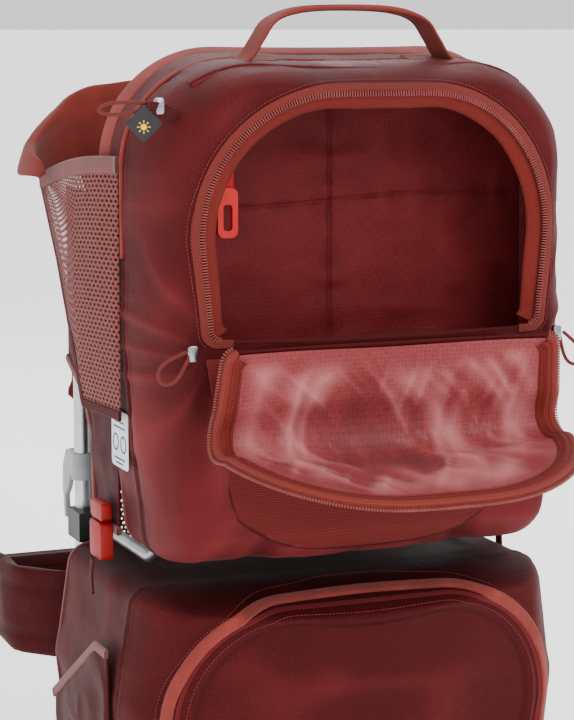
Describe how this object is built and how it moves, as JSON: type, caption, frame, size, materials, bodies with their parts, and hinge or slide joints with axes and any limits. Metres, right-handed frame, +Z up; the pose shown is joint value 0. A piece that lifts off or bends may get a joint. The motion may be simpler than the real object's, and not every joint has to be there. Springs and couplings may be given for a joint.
{
  "type": "baby carrier backpack",
  "caption": "Framed back carrier for a small child, on its kickstand, with the zipped rear pocket hanging open and a closed lower compartment.",
  "frame": {"origin": "on the floor, under the middle of the carrier's bounding box", "axes": "+Z up, +Y the wearer's forward direction, -Y the zipped pocket side, +X the wearer's right"},
  "size_m": [0.4826, 0.6834, 0.7994],
  "materials": {
    "maroon_ripstop": "matte ripstop nylon",
    "maroon_lining": "satin lining cloth",
    "coral_fabric": "matte brushed fabric",
    "coral_mesh": "open knitted mesh",
    "pink_lining": "coated ripstop, slight sheen",
    "coral_webbing": "woven webbing",
    "maroon_webbing": "woven webbing",
    "frame_tube": "satin anodised",
    "grey_plastic": "matte",
    "black_plastic": "matte",
    "red_plastic": "satin gloss",
    "black_rubber": "matte",
    "slider_metal": "polished",
    "label_white": "printed satin",
    "tag_black": null
  },
  "bodies": {
    "pack": {"frame_hoop": "frame_tube", "rear_support_loop": "frame_tube", "loop_clamps": "black_plastic", "upright_boots": "black_rubber", "kickstand_hubs": "black_plastic", "strap_hooks": "grey_plastic", "frame_crossbar": "grey_plastic", "kickstand_pins": "slider_metal", "upper_face": "maroon_ripstop", "upper_backrest": "maroon_ripstop", "upper_floor": "maroon_ripstop", "upper_roof": "maroon_ripstop", "upper_sides": "maroon_ripstop", "pocket_lining": "maroon_lining", "lower_face": "maroon_ripstop", "lower_ceiling": "maroon_ripstop", "lower_front_wall": "maroon_ripstop", "lower_floor": "maroon_ripstop", "lower_sides": "maroon_ripstop", "side_pockets": "coral_fabric", "mesh_gussets": "coral_mesh", "side_cloths": "maroon_ripstop", "front_collar": "coral_fabric", "collar_wings": "coral_fabric", "head_pad": "coral_fabric", "child_harness": "coral_fabric", "chest_buckle": "red_plastic", "back_mesh": "coral_mesh", "lumbar_pad": "coral_fabric", "strap_webbing": "maroon_webbing", "grab_handle": "coral_webbing", "side_sockets": "red_plastic", "clip_webbing": "maroon_webbing", "zip_sliders": "slider_metal", "pocket_pull_left": "coral_webbing", "pocket_pull_right": "coral_webbing", "shade_pull": "coral_webbing", "sun_tag": "tag_black", "care_label": "label_white", "key_strap": "maroon_webbing", "key_hook": "red_plastic"},
    "kickstand": {"kickstand_loop": "frame_tube", "kickstand_eyes": "black_plastic", "kickstand_sleeves": "black_rubber"},
    "pocket_flap": {"flap_base": "pink_lining"},
    "flap_tip": {"flap_crown": "pink_lining"},
    "lower_door": {"lower_door": "maroon_ripstop"},
    "harness": {"yoke_pad": "coral_fabric", "shoulder_straps": "coral_fabric"},
    "sternum": {"sternum_webbing": "maroon_webbing", "sternum_buckle": "red_plastic"},
    "hip_left": {"hip_wing_left": "maroon_ripstop", "hip_webbing_left": "maroon_webbing", "hip_buckle_plug": "red_plastic"},
    "hip_right": {"hip_wing_right": "maroon_ripstop", "hip_webbing_right": "maroon_webbing", "hip_buckle_socket": "red_plastic"},
    "clip_left": {"side_plug_left": "red_plastic"},
    "clip_right": {"side_plug_right": "red_plastic"},
    "seat": {"child_seat": "coral_fabric"}
  },
  "joints": [
    {"name": "kickstand_fold", "type": "hinge", "parent": "pack", "child": "kickstand", "pos_m": [0, 0.122, 0.04], "axis": [-1, 0, 0], "range_deg": [0, 15]},
    {"name": "pocket_flap_hinge", "type": "hinge", "parent": "pack", "child": "pocket_flap", "pos_m": [0, -0.209, 0.52], "axis": [-1, 0, 0], "range_deg": [0, 190]},
    {"name": "flap_crease", "type": "hinge", "parent": "pocket_flap", "child": "flap_tip", "pos_m": [0, -0.21973, 0.43687], "axis": [1, 0, 0], "range_deg": [0, 92]},
    {"name": "lower_door_hinge", "type": "hinge", "parent": "pack", "child": "lower_door", "pos_m": [0, -0.186, 0.136], "axis": [1, 0, 0], "range_deg": [0, 95]},
    {"name": "torso_slide", "type": "slide", "parent": "pack", "child": "harness", "axis": [0, 0, 1], "range_m": [0, 0.04]},
    {"name": "sternum_slide", "type": "slide", "parent": "harness", "child": "sternum", "axis": [0, 0, 1], "range_m": [-0.02, 0.02]},
    {"name": "hip_left_swing", "type": "hinge", "parent": "pack", "child": "hip_left", "pos_m": [-0.124, 0.149, 0.205], "axis": [0, 0, 1], "range_deg": [0, 16]},
    {"name": "hip_right_swing", "type": "hinge", "parent": "pack", "child": "hip_right", "pos_m": [0.124, 0.149, 0.205], "axis": [0, 0, -1], "range_deg": [0, 16]},
    {"name": "clip_left_slide", "type": "slide", "parent": "pack", "child": "clip_left", "axis": [0, 0, 1], "range_m": [0, 0.026]},
    {"name": "clip_right_slide", "type": "slide", "parent": "pack", "child": "clip_right", "axis": [0, 0, 1], "range_m": [0, 0.026]},
    {"name": "seat_height_slide", "type": "slide", "parent": "pack", "child": "seat", "axis": [0, 0, -1], "range_m": [0, 0.035]}
  ],
  "couplings": [
    {"joint": "flap_crease", "follows": "pocket_flap_hinge", "ratio": 0.48421}
  ]
}
